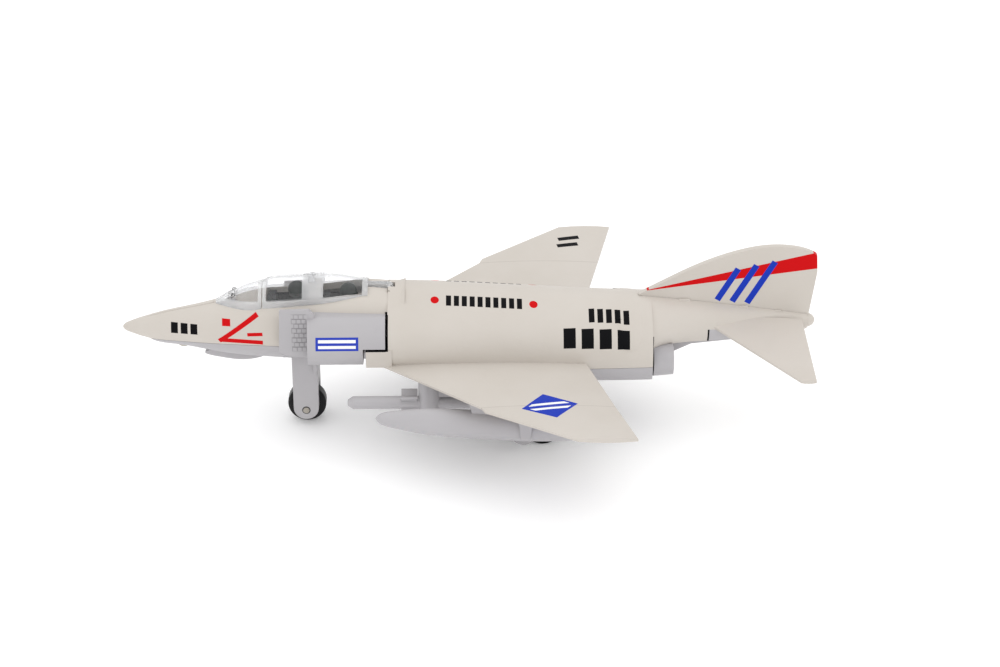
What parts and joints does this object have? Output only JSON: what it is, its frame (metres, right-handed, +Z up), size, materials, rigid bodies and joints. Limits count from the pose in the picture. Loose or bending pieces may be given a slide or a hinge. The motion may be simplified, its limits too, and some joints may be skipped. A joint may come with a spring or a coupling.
{
  "type": "toy airplane",
  "caption": "Pull-back toy jet with painted upper body, grey plastic underside, opening clear canopy, tanks, missiles and rolling wheels.",
  "frame": {"origin": "on the table under the middle of the overall length, in the plane of symmetry", "axes": "+X from nose to tail, +Y to starboard, +Z up"},
  "size_m": [0.2182, 0.148, 0.0596],
  "materials": {
    "beige_paint": "satin",
    "grey_plastic": "satin",
    "clear_plastic": "clear gloss",
    "cockpit_black": "matte",
    "seat_green": "satin",
    "black_plastic": "semi-gloss",
    "black_rubber": "matte",
    "steel": "bright",
    "gear_plastic": "natural",
    "motor_plastic": "matte"
  },
  "bodies": {
    "airframe": {"body_screws": "steel", "canopy_pin": "steel", "cockpit_tub": "cockpit_black", "drum_pin": "steel", "front_seat": "seat_green", "idler_pin": "steel", "intake_left": "grey_plastic", "intake_right": "grey_plastic", "lower_body": "grey_plastic", "main_gear_leg_left": "grey_plastic", "main_gear_leg_right": "grey_plastic", "missile_left": "grey_plastic", "missile_right": "grey_plastic", "motor_case": "motor_plastic", "motor_cover": "motor_plastic", "motor_screws": "steel", "nose_axle": "steel", "nose_gear_leg": "grey_plastic", "nozzle_left": "grey_plastic", "nozzle_right": "grey_plastic", "pylon_left": "grey_plastic", "pylon_right": "grey_plastic", "rear_seat": "seat_green", "tail_fin": "beige_paint", "tank_left": "grey_plastic", "tank_pylon_left": "grey_plastic", "tank_pylon_right": "grey_plastic", "tank_right": "grey_plastic", "upper_body": "beige_paint", "windscreen": "clear_plastic"},
    "canopy": {"canopy": "clear_plastic"},
    "nose_wheel": {"nose_wheel": "black_plastic"},
    "rear_wheels": {"rear_axle": "steel", "rear_hub_left": "black_plastic", "rear_hub_right": "black_plastic", "rear_tyre_left": "black_rubber", "rear_tyre_right": "black_rubber", "axle_gear": "gear_plastic"},
    "idler": {"idler_gear": "gear_plastic"},
    "spring_drum": {"drum_gear": "gear_plastic", "mainspring": "steel"}
  },
  "joints": [
    {"name": "canopy_hinge", "type": "hinge", "parent": "airframe", "child": "canopy", "pos_m": [-0.025, 0, 0.0462], "axis": [0, 1, 0], "range_deg": [0, 55]},
    {"name": "nose_wheel_spin", "type": "hinge", "parent": "airframe", "child": "nose_wheel", "pos_m": [-0.052, 0, 0.0061], "axis": [0, 1, 0], "continuous": true},
    {"name": "rear_axle_spin", "type": "hinge", "parent": "airframe", "child": "rear_wheels", "pos_m": [0.0228, 0, 0.0061], "axis": [0, 1, 0], "continuous": true},
    {"name": "idler_spin", "type": "hinge", "parent": "airframe", "child": "idler", "pos_m": [0.0186, 0, 0.01406], "axis": [0, 1, 0], "continuous": true},
    {"name": "drum_spin", "type": "hinge", "parent": "airframe", "child": "spring_drum", "pos_m": [0.0193, 0, 0.02504], "axis": [0, 1, 0], "continuous": true}
  ],
  "couplings": [
    {"joint": "idler_spin", "follows": "rear_axle_spin", "ratio": -0.5},
    {"joint": "drum_spin", "follows": "rear_axle_spin", "ratio": 0.1875}
  ]
}
